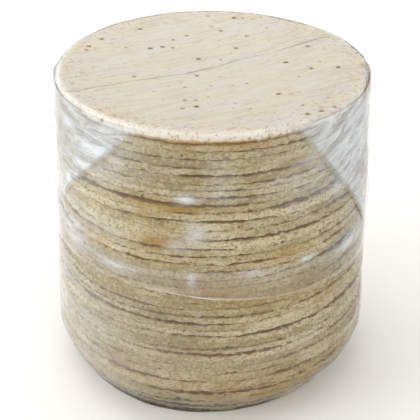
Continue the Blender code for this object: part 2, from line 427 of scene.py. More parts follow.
class Rim:
    """The ragged rim of one tortilla: radius and height round it at each station of its edge."""

    def __init__(self, slab, number, gaps, settings):
        columns = slab.columns
        random = np.random.default_rng(settings.seed * 1000 + number)
        turn = bearings(columns)

        def noise(lowest, highest, fall):
            return noise_round(random, columns, lowest, highest, fall)

        wander = settings.raggedness * (0.8 * noise(4, 30, 0.9) + 0.5 * noise(30, 120, 0.6))
        crumbly = step_up(noise(2, 9, 0.5), -0.6, 1.0)
        wander = wander + CRUMBLE * crumbly * noise(80, FINEST_WAVE, 0.3)
        for _ in range(settings.notches):
            middle, width = random.uniform(0, FULL_TURN), random.uniform(*NOTCH_WIDTHS)
            wander -= random.uniform(*NOTCH_DEPTHS) * MM * bump(turn_from(turn, middle) / width)
        paler = np.zeros(columns)
        for middle, half_width, height, reach in STEPS:
            if slab.rim_height[0].mean() < height * MM <= slab.rim_height[1].mean():
                turned = turn_from(turn, math.radians(middle)) / math.radians(half_width)
                wander += reach * MM * bump(turned)
                paler += STEP_PALENESS * bump(turned)
                gaps[1].opening = np.maximum(gaps[1].opening, STEP_OPENING * bump(turned))
        lean = LEAN * noise(2, 20, 1.0)
        self.tone = 0.56 + 0.26 * random.standard_normal() + 0.24 * noise(2, 24, 0.8) - paler
        self.gaps = [gap.opening for gap in gaps]
        heights, depths = [], []
        for side, outward in enumerate((-1, 1)):
            rough = settings.swell * (0.40 * noise(10, 90, 0.5) + 0.40 * noise(90, FINEST_WAVE, 0.3))
            shut = settings.swell * (0.65 - 1.15 * self.gaps[side]) + rough
            heights.append(slab.rim_height[side] + outward * shut - gaps[side].drop)
            uneven = np.clip(1 + 0.5 * noise(5, 90, 0.5), 0.2, 2.2)
            depths.append(settings.edge_depth * (0.4 + 1.7 * self.gaps[side]) * uneven)
        self.rows = []
        for station in EDGE_STATIONS:
            up = 0.5 + 0.5 * math.sin(station)
            inward = depths[int(station > 0)] * (1 - abs(math.cos(station)) ** 0.7)
            grain = EDGE_GRAIN * noise(60, FINEST_WAVE, 0.2)
            radius = slab.rim_radius[0] * (1 - up) + slab.rim_radius[1] * up
            radius = radius + wander + lean * math.sin(station) - inward + grain
            self.rows.append((radius, heights[0] * (1 - up) + heights[1] * up))

    def painted_gap_shade(self, station):
        """How much painted gap shade shows at a station of the edge."""
        return abs(math.sin(station)) ** 5 * (0.30 + 0.70 * self.gaps[int(station > 0)])

    def widest(self):
        """Outermost radius and the height there, for each bearing."""
        radius = np.stack([row[0] for row in self.rows])
        height = np.stack([row[1] for row in self.rows])
        best = radius.argmax(axis=0)
        columns = np.arange(radius.shape[1])
        return radius[best, columns], height[best, columns]


def tortilla_mesh(slab, rim, top_relief=None):
    """A whole tortilla: lower face, ragged rim, upper face. top_relief gives a fine upper face."""
    columns = slab.columns
    rings, gap, face = [], [], []

    def add(radius, height, gap_value, face_value):
        rings.append(polar(radius, height, columns))
        gap.append(np.broadcast_to(gap_value, (columns,)))
        face.append(np.broadcast_to(face_value, (columns,)))

    def inner_rows(side):
        flat = [np.full(columns, part * DISH_RADIUS) for part in FLAT_ROWS]
        edge = rim.rows[-side][0]
        return flat + [np.maximum(edge - inset, DISH_RADIUS + DISH_CLEARANCE) for inset in NEAR_RIM]

    # The flat faces between tortillas get full painted gap shade; only the lowest tortilla's underside
    # keeps the dough's colours.
    under = 0.0 if slab.name == TORTILLAS[0] else 1.0
    for radius in inner_rows(0):
        add(radius, slab.surface(0, radius), under, 1.0)
    for station, (radius, height) in zip(EDGE_STATIONS, rim.rows):
        if top_relief is None:
            add(radius, height, rim.painted_gap_shade(station), 0.0)
        else:
            painted_gap_shade = rim.painted_gap_shade(station) if station < 0 else 0.0
            add(radius, height, painted_gap_shade, step_up(math.sin(station), -0.8, -0.2))
    if top_relief is None:
        for radius in reversed(inner_rows(1)):
            add(radius, slab.surface(1, radius), 1.0, 1.0)
    else:
        edge = rim.rows[-1][0]
        for row in range(TOP_FACE_ROWS - 1, 0, -1):
            inward = row / TOP_FACE_ROWS
            radius = edge * inward
            fade = step_up(1 - inward, 0.0, 0.03)
            height = slab.surface(1, radius) + fade * top_relief[row]
            height = height + (rim.rows[-1][1] - slab.rim_height[1]) * (1 - fade)
            add(radius, height, 0.0, 1.0)
    mesh = ring_mesh(slab.name, rings, (0, 0, slab.middle[0]), (0, 0, slab.middle[1]))
    add_values(mesh, "gap", np.concatenate(gap))
    add_values(mesh, "face", np.concatenate(face))
    add_values(mesh, "tone", np.tile(rim.tone, len(rings)))
    add_values(mesh, "stain", stain_values(mesh))
    return mesh


def stack_rims(settings):
    """Every tortilla's slab and ragged rim, from the lowest up."""
    random = np.random.default_rng(settings.seed)
    gaps = [Gap(random, settings.columns, ease) for ease in np.linspace(*GAP_EASE, len(TORTILLAS) + 1)]
    front = bump(turn_from(bearings(settings.columns), 0) / TOP_GAP_WIDTH)
    gaps[-2].opening = np.maximum(gaps[-2].opening, TOP_GAP_OPENING * front)
    gaps[-2].drop = TOP_GAP_DROP * front
    made = []
    for number, name in enumerate(TORTILLAS):
        slab = Slab(name, settings.columns)
        if number == 0:
            slab.rim_radius[0] += BASE_SPREAD * (slab.rim_radius[1] - slab.rim_radius[0])
        made.append((slab, Rim(slab, number, gaps[number : number + 2], settings)))
    return made


def stain_values(mesh):
    """How stained the dough is at each point of a mesh: moist yellow patches by bearing and height."""
    points = np.empty(len(mesh.vertices) * 3)
    mesh.vertices.foreach_get("co", points)
    return patches_at(points.reshape(-1, 3), STAINS)


class STACK_OT_tortillas(bpy.types.Operator):
    """Build every tortilla under the top one, each with its own ragged rim"""

    bl_idname = "tortilla_stack.tortillas"
    bl_label = "Tortillas"

    def execute(self, context):
        settings = context.scene.tortilla_dough
        dough = dough_material(settings)
        for slab, rim in stack_rims(settings)[:-1]:
            add_piece(f"corn_{slab.name}", tortilla_mesh(slab, rim), dough, "tortilla", slab.name)
        return {"FINISHED"}


class STACK_OT_top_tortilla(bpy.types.Operator):
    """Build the top tortilla, whose whole face shows"""

    bl_idname = "tortilla_stack.top_tortilla"
    bl_label = "Top tortilla"

    def execute(self, context):
        settings = context.scene.tortilla_dough
        slab, rim = stack_rims(settings)[-1]
        random = np.random.default_rng(settings.seed)
        broad = noise_sheet(random, TOP_FACE_ROWS, slab.columns, 18, 60)
        fine = noise_sheet(random, TOP_FACE_ROWS, slab.columns, 4, 14)
        relief = FACE_RELIEF[0] * broad + FACE_RELIEF[1] * fine - FACE_SINK
        mesh = tortilla_mesh(slab, rim, top_relief=relief)
        add_piece(f"corn_{slab.name}", mesh, face_material(settings), "tortilla", slab.name)
        return {"FINISHED"}


# ---- film

HEIGHT_STEP = 0.8 * MM
TOP_ROWS = 44  # rings of the upper cover over the top face
UPPER_WALL_ROWS = 92
FLOOR_ROWS = 8  # rings of the lower cover under the stack
LOWER_WALL_ROWS = 72
BEND_DROP = 0.25 * MM  # of the lower cover's bend, under the lowest rim
FILM_OFF_RIMS = 0.10 * MM
FILM_SLACK = 0.10 * MM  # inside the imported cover
SHELL_MIDDLE = 0.15 * MM  # from a packed cover's flat face to the middle of its thickness
SOLID_EDGE = 0.5 * MM  # how near a packed cover's top and bottom its inside is looked for
TOP_TUCK = 1.2 * MM  # how far the film draws in towards the top edge
TUCK_HEIGHTS = (STACK_TOP - 14 * MM, STACK_TOP - 3 * MM)
FOOT_TUCK = 0.03  # share by which the film draws in under the first height, less up to the second
FOOT_HEIGHTS = (5 * MM, 11 * MM)
FOLD_RADIUS = 1.5 * MM  # of the film over the top edge


def bridged(values, reach, spread, axis):
    """The highest value within reach, then smoothed over spread, both counted in cells."""

    def moved(array, cells):
        if axis == 1:
            return np.roll(array, cells, axis=1)
        return array[np.clip(np.arange(len(array)) + cells, 0, len(array) - 1)]

    best = values.copy()
    for cells in range(-reach, reach + 1):
        best = np.maximum(best, moved(values, cells))
    widest = 3 * spread
    weights = {cells: math.exp(-0.5 * (cells / spread) ** 2) for cells in range(-widest, widest + 1)}
    return sum(weight * moved(best, cells) for cells, weight in weights.items()) / sum(weights.values())


class Wall:
    """A sheet of film round the stack: its radius at any height and bearing."""

    def __init__(self, heights, radius):
        self.heights = heights
        self.radius = radius

    def at(self, height, bearing):
        """Radius at arrays of heights and bearings."""
        rows = np.interp(height, self.heights, np.arange(len(self.heights)))
        columns = self.radius.shape[1]
        across = (bearing / FULL_TURN * columns) % columns
        row, column = np.floor(rows).astype(int), np.floor(across).astype(int) % columns
        below, after = np.minimum(row + 1, len(self.heights) - 1), (column + 1) % columns
        up, along = rows - row, across - np.floor(across)
        near = self.radius[row, column] * (1 - along) + self.radius[row, after] * along
        far = self.radius[below, column] * (1 - along) + self.radius[below, after] * along
        return near * (1 - up) + far * up


def rim_envelope(rims, heights, columns):
    """Radius that the rims reach at each height, bridged the way taut film bridges them."""
    wide = [rim.widest() for _slab, rim in rims]
    radii = np.array([radius for radius, _height in wide])
    levels = np.array([height for _radius, height in wide])
    steps = np.linspace(0, radii.shape[1], columns, endpoint=False).astype(int)
    reached = np.empty((len(heights), columns))
    for column, step in enumerate(steps):
        reached[:, column] = np.interp(heights, levels[:, step], radii[:, step])
    return bridged(bridged(reached, 3, 3, axis=1), 2, 2, axis=0)


def film_wall(name, rims, settings):
    """The wall of one cover: over the rims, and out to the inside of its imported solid."""
    low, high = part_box(name)
    heights = np.arange(low.z, high.z + HEIGHT_STEP, HEIGHT_STEP)
    envelope = rim_envelope(rims, heights, settings.columns) + FILM_OFF_RIMS
    envelope *= step_up(heights, *FOOT_HEIGHTS)[:, None] * FOOT_TUCK + (1 - FOOT_TUCK)
    within = np.clip(heights, low.z + SOLID_EDGE, high.z - SOLID_EDGE)
    solid = inside_radius(name, within, settings.columns)
    solid = np.where(np.isnan(solid), 0.0, solid - FILM_SLACK)
    solid -= TOP_TUCK * step_up(heights, *TUCK_HEIGHTS)[:, None]
    random = np.random.default_rng(settings.seed)
    ripple = noise_sheet(random, len(heights), settings.columns, 9, 26)
    creases = 1 - np.abs(noise_sheet(random, len(heights), settings.columns, 16, 12))
    drape = settings.wrinkle * (0.45 * ripple + 0.55 * creases)
    return Wall(heights, np.maximum(envelope, np.maximum(envelope, solid) + drape))


def film_start(context, name):
    """The film's settings, the rims under it and the wall of one cover."""
    settings = context.scene.tortilla_film
    rims = stack_rims(context.scene.tortilla_dough)
    return settings, rims, film_wall(name, rims, settings)


def wall_rings(wall, start, end, rows, columns):
    """Rings down a wall from start heights to end heights."""
    turn = bearings(columns)
    rings = []
    for down in np.linspace(0, 1, rows):
        height = start + (end - start) * down
        rings.append(polar(wall.at(height, turn), height, columns))
    return rings


# Milky film and painted reflections of the lights on the covers: bearing and half width in degrees,
# height and half height in mm, strength.
UPPER_HAZE_AND_REFLECTIONS = (
    (-92, 26, 95, 30, 0.50), (-80, 13, 60, 22, 0.22), (88, 22, 84, 26, 0.40), (62, 20, 99, 10, 0.16),
    (-46, 20, 99, 11, 0.24), (-62, 16, 68, 12, 0.12), (42, 20, 95, 14, 0.16), (-9, 4, 88.5, 1.6, 0.40),
    (3, 5, 95, 9, 0.12), (-5, 4, 76, 3.5, 0.26), (-12, 4, 72, 2.5, 0.20), (52, 6, 84, 4, 0.25),
    (-40, 14, 72, 6, 0.10), (-56, 8, 64, 5, 0.20), (30, 8, 90, 6, 0.08), (-34, 7, 60, 1.8, 0.30),
    (-7, 1.6, 60, 3.0, 0.30), (14, 4, 62, 1.2, 0.24), (34, 3, 62.5, 1.0, 0.34), (58, 12, 60, 3.5, 0.34),
)
LOWER_HAZE_AND_REFLECTIONS = ((-84, 18, 34, 30, 0.30), (-54, 24, 28, 24, 0.12), (86, 13, 40, 26, 0.18))
# Painted sheen on the lower cover, drawn in the dull colour.
LOWER_SHEEN = ((-50, 40, 30, 26, 0.16), (10, 50, 26, 16, 0.08), (150, 60, 30, 26, 0.12))
HEM_HAZE = ((0, 20, 54, 8, 0.30), (140, 50, 54, 8, 0.30))
HEM_WIDTH = 0.4 * MM  # of the line along a free edge
UPPER_HEM_LINE = 0.06  # how milky that line is
LOWER_HEM_LINE = 0.12
OVERLAP_VEIL = 0.15
OVERLAP_EDGE = 0.5 * MM  # over which the overlap's veil sets in
CLEAR_TOP = (49.5 * MM, 52 * MM)  # no milky places or painted reflections inside the first radius, all outside the second
FOLD_HIGHLIGHT = 0.08  # painted highlight where the film turns over the top edge
FOLD_MIDDLE = STACK_TOP - 1.0 * MM
FOLD_REACH = 1.2 * MM


def add_film(name, mesh, haze_and_reflection, dull_and_sheen, material, node):
    """Make a piece of film with its milkiness and painted reflections, and its dullness with any painted
    sheen, at each point.
    """
    add_values(mesh, "haze_and_reflection", haze_and_reflection)
    add_values(mesh, "dull_and_sheen", dull_and_sheen)
    add_piece(name, mesh, material, "film", node)


class STACK_OT_upper_film(bpy.types.Operator):
    """Draw the cover that is turned over the top half"""

    bl_idname = "tortilla_stack.upper_film"
    bl_label = "Upper film"

    def execute(self, context):
        settings, _rims, wall = film_start(context, "film_upper")
        columns = settings.columns
        top = STACK_TOP - SHELL_MIDDLE
        turn = bearings(columns)
        edge = wall.at(np.full(columns, top - FOLD_RADIUS), turn)
        parts = np.linspace(0.03, 1, TOP_ROWS)
        rings = [polar((edge - FOLD_RADIUS) * part, top, columns) for part in parts]
        for angle in np.radians((20, 42, 66)):
            radius = edge - FOLD_RADIUS * (1 - math.sin(angle))
            rings.append(polar(radius, top - FOLD_RADIUS * (1 - math.cos(angle)), columns))
        hem = hem_heights("film_upper", columns, min)
        rings += wall_rings(wall, np.full(columns, top - FOLD_RADIUS), hem, UPPER_WALL_ROWS, columns)
        rings.reverse()
        mesh = ring_mesh("upper_film", rings, None, (0, 0, top))
        points = np.concatenate(rings)
        # Painted highlight along the fold of the film over the top edge.
        fold = FOLD_HIGHLIGHT * bump((points[:, 2] - FOLD_MIDDLE) / FOLD_REACH)
        haze_and_reflection = patches_at(points, UPPER_HAZE_AND_REFLECTIONS) + fold
        haze_and_reflection *= step_up(np.hypot(points[:, 0], points[:, 1]), *CLEAR_TOP)
        lower_hem = hem_heights("film_lower", columns, max)
        under_hem = np.tile(lower_hem, len(rings)) - points[:, 2]
        above_edge = points[:, 2] - np.tile(hem, len(rings))
        haze_and_reflection += (UPPER_HEM_LINE + patches_at(points, HEM_HAZE)) * bump(above_edge / HEM_WIDTH)
        dull_and_sheen = OVERLAP_VEIL * step_up(under_hem, -OVERLAP_EDGE, OVERLAP_EDGE)
        add_film("upper_film", mesh, haze_and_reflection, dull_and_sheen, film_material("clear_film", settings), "film_upper")
        return {"FINISHED"}


class STACK_OT_lower_film(bpy.types.Operator):
    """Draw the cover that holds the lower half"""

    bl_idname = "tortilla_stack.lower_film"
    bl_label = "Lower film"

    def execute(self, context):
        settings, rims, wall = film_start(context, "film_lower")
        columns = settings.columns
        floor = SHELL_MIDDLE
        bend = np.full(columns, rims[0][0].rim_height[0].min() - BEND_DROP)
        turn = bearings(columns)
        rings = [polar(DISH_RADIUS * part, floor, columns) for part in np.linspace(0.05, 1, FLOOR_ROWS)]
        outer = wall.at(bend, turn)
        for part in (0.33, 0.67):
            radius = DISH_RADIUS + (outer - DISH_RADIUS) * part
            rings.append(polar(radius, floor + (bend - floor) * part, columns))
        hem = hem_heights("film_lower", columns, max)
        rings += wall_rings(wall, bend, hem, LOWER_WALL_ROWS, columns)
        mesh = ring_mesh("lower_film", rings, (0, 0, floor), None)
        points = np.concatenate(rings)
        haze_and_reflection = patches_at(points, LOWER_HAZE_AND_REFLECTIONS)
        haze_and_reflection += LOWER_HEM_LINE * bump((np.tile(hem, len(rings)) - points[:, 2]) / HEM_WIDTH)
        dull_and_sheen = patches_at(points, LOWER_SHEEN)
        material = film_material("clear_film_under", settings)
        add_film("lower_film", mesh, haze_and_reflection, dull_and_sheen, material, "film_lower")
        return {"FINISHED"}


EAR_CELLS = (90, 60)  # across and down
EAR_LIFT = 0.45 * MM  # off the cover under it
EAR_FOLDS = 0.12 * MM
EAR_FOLD_HAZE = 0.04
EAR_EDGE_LINE = 0.02  # how milky an ear's very edge is
OUTER_REFLECTION = {"left": 0.26, "right": 0.30}  # painted reflection where an ear turns round the side


def ear_outline(name):
    """Heights of a packed ear's top and tip, and the bearings of its two upper and two lower corners."""
    _radius, bearing, height = node_points(name)
    middle = 0.5 * (bearing.min() + bearing.max())
    turn = middle + turn_from(bearing, middle)
    top, tip = height.max(), height.min()
    upper = turn[height > top - 0.5 * MM]
    lower = turn[height < tip + 0.5 * MM]
    return (top, tip), (upper.min(), upper.max()), (lower.min(), lower.max())


class STACK_OT_ears(bpy.types.Operator):
    """Lay the two folded ears of spare film against the sides"""

    bl_idname = "tortilla_stack.ears"
    bl_label = "Film ears"

    def execute(self, context):
        settings, _rims, wall = film_start(context, "film_upper")
        material = film_material("folded_film", settings)
        across, down = EAR_CELLS
        for number, side in enumerate(("left", "right")):
            node = f"film_ear_{side}"
            (top, tip), upper, lower = ear_outline(node)
            part, drop = np.meshgrid(np.linspace(0, 1, across), np.linspace(0, 1, down))
            start = upper[0] + (lower[0] - upper[0]) * drop
            end = upper[1] + (lower[1] - upper[1]) * drop
            bearing = start + (end - start) * part
            height = top + (tip - top) * drop
            random = np.random.default_rng(settings.seed + number)
            folds = noise_sheet(random, down, across, 16, 9)
            edge = np.minimum(np.minimum(part, 1 - part) * (1 - 0.9 * drop), (1 - drop) * 0.5)
            lift = EAR_LIFT + EAR_FOLDS * step_up(edge, 0.0, 0.06) * np.abs(folds)
            radius = wall.at(height, bearing) + lift
            points = np.stack([radius * np.sin(bearing), -radius * np.cos(bearing), height], axis=-1)
            points = points.reshape(-1, 3)
            faces = sheet_faces(down, across, closed=False)[:, ::-1].tolist()
            mesh = build_mesh(f"ear_{side}", points, faces)
            outer = step_up(np.abs(part - number), 0.15, 0.75)
            # An ear's milkiness: its veil and folds, with a painted reflection where it turns round the
            # side.
            haze_and_reflection = settings.ear_veil + EAR_FOLD_HAZE * np.clip(folds, -1, 2) + OUTER_REFLECTION[side] * outer
            haze_and_reflection = EAR_EDGE_LINE * bump(edge / 0.012) + haze_and_reflection * step_up(edge, 0.0, 0.04)
            add_film(f"film_fold_{side}", mesh, haze_and_reflection.reshape(-1), np.zeros(1), material, node)
        return {"FINISHED"}


# ---- materials


class Nodes:
    """A material's or group's node tree, with short ways to add and join nodes."""

    def __init__(self, tree):
        self.tree = tree

    def add(self, kind, inputs=None, **settings):
        """Add a node, set its settings, and set or join its inputs."""
        node = self.tree.nodes.new(kind)
        for name, value in settings.items():
            setattr(node, name, value)
        for name, value in (inputs or {}).items():
            socket = node.inputs[name]
            if isinstance(value, bpy.types.NodeSocket):
                self.tree.links.new(value, socket)
            else:
                socket.default_value = value
        return node

    def value(self, operation, *operands, clamp=False):
        """A Math node's output."""
        node = self.add("ShaderNodeMath", dict(enumerate(operands)), operation=operation, use_clamp=clamp)
        return node.outputs[0]

    def ramp(self, value, low, high, out_low=0.0, out_high=1.0):
        """A value that goes smoothly from out_low to out_high as another goes from low to high."""
        inputs = {
            "Value": value, "From Min": low, "From Max": high, "To Min": out_low, "To Max": out_high,
        }
        return self.add("ShaderNodeMapRange", inputs, interpolation_type="SMOOTHSTEP").outputs["Result"]

    def blend(self, factor, first, second, mode="MIX"):
        """A mix of two colours."""
        node = self.add("ShaderNodeMix", data_type="RGBA", blend_type=mode)
        for index, value in ((0, factor), (6, first), (7, second)):
            if isinstance(value, bpy.types.NodeSocket):
                self.tree.links.new(value, node.inputs[index])
            elif index == 0:
                node.inputs[index].default_value = value
            else:
                node.inputs[index].default_value = (*value, 1)
        return node.outputs[2]

    def noise(self, place, scale, detail=4.0, roughness=0.5, distortion=0.0):
        """A Noise texture's value."""
        inputs = {
            "Vector": place, "Scale": scale, "Detail": detail, "Roughness": roughness,
            "Distortion": distortion,
        }
        return self.add("ShaderNodeTexNoise", inputs).outputs["Fac"]

    def stretched_noise(self, place, lengths, detail, roughness, distortion=0.0, turn=(0, 0, 0)):
        """Noise with features of some lengths in millimetres along turned axes."""
        inputs = {"Vector": place, "Scale": [size * MM for size in lengths], "Rotation": turn}
        counted = self.add("ShaderNodeMapping", inputs, vector_type="TEXTURE").outputs["Vector"]
        return self.noise(counted, 1, detail, roughness, distortion)

    def layers(self, shade, coats):
        """A colour under coats: a value, where the coat starts and is full, its strength, its colour."""
        for value, low, high, most, tint in coats:
            shade = self.blend(self.ramp(value, low, high, 0.0, most), shade, tint)
        return shade

    def mesh_value(self, name):
        """A value stored on the mesh."""
        return self.add("ShaderNodeAttribute", attribute_name=name).outputs["Fac"]

    def object_place(self):
        """The place on the object, in metres."""
        return self.add("ShaderNodeTexCoord").outputs["Object"]


def new_material(name):
    """An empty node material, its nodes and its output."""
    material = bpy.data.materials.new(name)
    material.use_nodes = True
    nodes = Nodes(material.node_tree)
    material.node_tree.nodes.clear()
    return material, nodes, nodes.add("ShaderNodeOutputMaterial")


def node_group(name, inputs, outputs, fill):
    """A shader group with a place, float inputs and float outputs, built once; fill places its nodes."""
    known = bpy.data.node_groups.get(name)
    if known:
        return known
    group = bpy.data.node_groups.new(name, "ShaderNodeTree")
    group.interface.new_socket("Place", in_out="INPUT", socket_type="NodeSocketVector")
    for socket, default in inputs.items():
        given = group.interface.new_socket(socket, in_out="INPUT", socket_type="NodeSocketFloat")
        given.default_value = default
    for socket in outputs:
        group.interface.new_socket(socket, in_out="OUTPUT", socket_type="NodeSocketFloat")
    nodes = Nodes(group)
    source = group.nodes.new("NodeGroupInput")
    target = group.nodes.new("NodeGroupOutput")
    made = fill(nodes, source.outputs)
    for socket, value in made.items():
        group.links.new(value, target.inputs[socket])
    return group


def dough_grain_group():
    """Grain of coarse corn dough: fine grit, soft mottling, scorched specks, and its height."""

    def fill(nodes, given):
        place = given["Place"]
        grit = nodes.noise(place, given["Grit Scale"], 5, 0.65)
        mottle = nodes.noise(place, given["Mottle Scale"], 5, 0.6)
        warp = nodes.value("MULTIPLY_ADD", nodes.noise(place, 1100, 3, 0.6), 0.26, -0.13)

        def specks(scale, least, size):
            cells = nodes.add("ShaderNodeTexVoronoi", {"Vector": place, "Scale": scale})
            pick = nodes.add("ShaderNodeSeparateColor", {"Color": cells.outputs["Color"]}).outputs["Red"]
            reach = nodes.value("MULTIPLY", nodes.ramp(pick, least, 1.0), size)
            return nodes.value("SUBTRACT", reach, nodes.value("ADD", cells.outputs["Distance"], warp))

        large = specks(given["Speck Scale"], 0.34, given["Speck Size"])
        small = specks(nodes.value("MULTIPLY", given["Speck Scale"], 3.1), 0.5, 0.17)
        toasted = nodes.value("MAXIMUM", nodes.ramp(large, 0.0, 0.05), nodes.ramp(small, -0.02, 0.08))
        height = nodes.value("MULTIPLY_ADD", mottle, 0.5, grit)
        return {"Grit": grit, "Mottle": mottle, "Specks": toasted, "Halo": nodes.ramp(large, -0.13, 0.02),
                "Height": height}

    inputs = {"Grit Scale": 1300.0, "Mottle Scale": 90.0, "Speck Scale": 120.0, "Speck Size": 0.12}
    return node_group("dough_grain", inputs, ("Grit", "Mottle", "Specks", "Halo", "Height"), fill)


def place_grain(nodes, place, **inputs):
    """Put in the dough grain group with its own values."""
    names = {"grit": "Grit Scale", "mottle": "Mottle Scale", "speck": "Speck Scale", "size": "Speck Size"}
    node = nodes.add("ShaderNodeGroup", {"Place": place}, node_tree=dough_grain_group())
    for key, value in inputs.items():
        node.inputs[names[key]].default_value = value
    return node.outputs


def dough_colour(nodes, grain, settings):
    """Colour of the rims: uneven dough, yellow stains, specks, and painted shade in the gaps between
    tortillas.
    """
    place = nodes.object_place()
    along = nodes.stretched_noise(place, (10, 10, 3), 5, 0.6)
    tone = nodes.value("ADD", nodes.mesh_value("tone"), nodes.value("MULTIPLY_ADD", along, 2.4, -1.2))
    tone = nodes.value("ADD", tone, nodes.value("MULTIPLY_ADD", grain["Mottle"], 1.6, -0.8))
    flakes = nodes.stretched_noise(place, (2.6, 2.6, 0.5), 4, 0.65, 0.4)
    shade = nodes.layers(settings.pale_colour, (
        (tone, 0.0, 0.55, 1.0, settings.rim_colour),
        (tone, 0.55, 1.25, 0.8, settings.rich_colour),
        (grain["Grit"], 0.50, 0.62, 0.65, settings.pale_colour),
        (grain["Grit"], 0.50, 0.36, 0.95, settings.rich_colour),
        (flakes, 0.50, 0.34, 0.7, settings.rich_colour),
        # Where the flakes are lowest they take the gap shade colour: dark nicks and specks across the
        # rim.
        (flakes, 0.38, 0.30, 0.9, settings.gap_shade_colour),
    ))
    moist = nodes.stretched_noise(place, (6, 6, 2.8), 4, 0.6)
    stain = nodes.value("MULTIPLY", nodes.mesh_value("stain"), nodes.ramp(moist, 0.30, 0.55))
    shade = nodes.blend(nodes.value("MULTIPLY", stain, 1.0, clamp=True), shade, settings.stain_colour)
    wet = nodes.value("MULTIPLY", stain, 0.7, clamp=True)
    # Painted shade in the gaps between tortillas: the gap shade colour, turned towards the stain colour
    # where the dough is stained, with crumbly edges from the flakes.
    gap_shade_tint = nodes.blend(wet, settings.gap_shade_colour, settings.stain_colour)
    gap_shade_mask = nodes.value("ADD", nodes.mesh_value("gap"), nodes.value("MULTIPLY_ADD", flakes, -2.4, 1.1))
    shade = nodes.blend(nodes.ramp(gap_shade_mask, 0.20, 0.78, 0.0, 0.95), shade, gap_shade_tint)
    return nodes.blend(nodes.value("MULTIPLY", grain["Specks"], 0.85), shade, settings.toast_colour)


def dough_shader(nodes, output, shade, height, roughness):
    """Rough matt dough of a colour and a height."""
    bump_node = nodes.add("ShaderNodeBump", {"Height": height, "Strength": 0.9, "Distance": 0.35 * MM})
    shader = nodes.add("ShaderNodeBsdfPrincipled", {
        "Base Color": shade, "Roughness": roughness, "Specular IOR Level": 0.25,
        "Normal": bump_node.outputs["Normal"],
    })
    nodes.tree.links.new(shader.outputs["BSDF"], output.inputs["Surface"])


def dough_material(settings):
    """Corn dough as it shows at the rims of the stack."""
    material, nodes, output = new_material("corn_dough")
    grain = place_grain(nodes, nodes.object_place(), grit=950, mottle=110, speck=230, size=0.15)
    dough_shader(nodes, output, dough_colour(nodes, grain, settings), grain["Height"], 0.85)
    return material


def crease_line(nodes, place, wander):
    """A thin mask along the long crease that crosses the top face."""
    normal = (-math.sin(STREAK_ANGLE), math.cos(STREAK_ANGLE), 0)
    across = nodes.add("ShaderNodeVectorMath", {0: place, 1: normal}, operation="DOT_PRODUCT")
    off = nodes.value("SUBTRACT", across.outputs["Value"], CREASE_OFFSET)
    off = nodes.value("ADD", off, wander)
    return nodes.ramp(nodes.value("ABSOLUTE", off), 0.5 * MM, 0.1 * MM)


def face_colours(nodes, place, grain, settings):
    """Colour and relief of the top face: pale, with streaks, freckles and specks in yellow halos, painted
    shade along its creases, and a painted bright band at its edge.
    """
    deeper = [value * part for value, part in zip(settings.face_colour, (0.88, 0.85, 0.80))]
    cooler = [value * part for value, part in zip(settings.face_colour, (0.97, 0.99, 1.06))]
    warmer = [value * part for value, part in zip(settings.face_colour, (1.01, 0.99, 0.92))]
    # Painted light: the top tortilla's outer edge is drawn brighter, as it lies in the light from above.
    painted_rim_light = [min(value * 1.2, 0.95) for value in settings.face_colour]
    patchy = nodes.stretched_noise(place, (17, 10, 10), 6, 0.7, turn=STREAK_TURN)
    streak = nodes.stretched_noise(place, (13, 1.6, 1.6), 5, 0.65, 0.5, turn=STREAK_TURN)
    fine_crease_noise = nodes.stretched_noise(place, (32, 5, 5), 3, 0.6, 0.3, turn=STREAK_TURN)
    face = nodes.layers(warmer, (
        (patchy, 0.36, 0.62, 1.0, cooler),
        (grain["Mottle"], 0.40, 0.24, 0.7, deeper),
        (streak, 0.48, 0.66, 1.0, deeper),
    ))
    # Painted shade of fine creases: thin dark lines along the streak direction, with no relief of their
    # own.
    off_middle = nodes.value("ABSOLUTE", nodes.value("SUBTRACT", fine_crease_noise, 0.5))
    painted_crease_shade = nodes.ramp(off_middle, 0.022, 0.0, 0.0, 0.30)
    face = nodes.blend(nodes.value("MULTIPLY", painted_crease_shade, grain["Mottle"]), face, settings.rich_colour)
    wander = nodes.value("MULTIPLY_ADD", nodes.noise(place, 45, 3, 0.6), 5 * MM, -2.5 * MM)
    here_and_there = nodes.ramp(grain["Mottle"], 0.38, 0.56)
    broken = nodes.value("MULTIPLY", crease_line(nodes, place, wander), here_and_there)
    # Painted shade along the long crease, over its dent in the relief.
    face = nodes.blend(nodes.value("MULTIPLY", broken, 0.55), face, settings.rich_colour)
    level = nodes.add("ShaderNodeVectorMath", {0: place, 1: (1, 1, 0)}, operation="MULTIPLY")
    from_axis = nodes.add("ShaderNodeVectorMath", {0: level.outputs["Vector"]}, operation="LENGTH")
    from_axis = from_axis.outputs["Value"]
    freckle = nodes.noise(place, 760, 3, 0.6)
    face = nodes.layers(face, (
        (from_axis, 50.5 * MM, 51.8 * MM, 1.0, painted_rim_light),
        (freckle, 0.60, 0.70, 0.30, settings.pale_colour),
    ))
    outer = nodes.ramp(from_axis, 34 * MM, 50 * MM)
    rim_freckle = nodes.value("MULTIPLY", outer, nodes.ramp(freckle, 0.56, 0.65))
    face = nodes.blend(nodes.value("MULTIPLY", rim_freckle, 0.60), face, settings.stain_colour)
    face = nodes.layers(face, ((grain["Grit"], 0.42, 0.28, 0.35, settings.rich_colour),))
    face = nodes.blend(nodes.value("MULTIPLY", grain["Halo"], 0.60), face, settings.stain_colour)
    face = nodes.blend(nodes.value("MULTIPLY", grain["Specks"], 0.85), face, settings.toast_colour)
    return face, nodes.value("SUBTRACT", streak, broken)


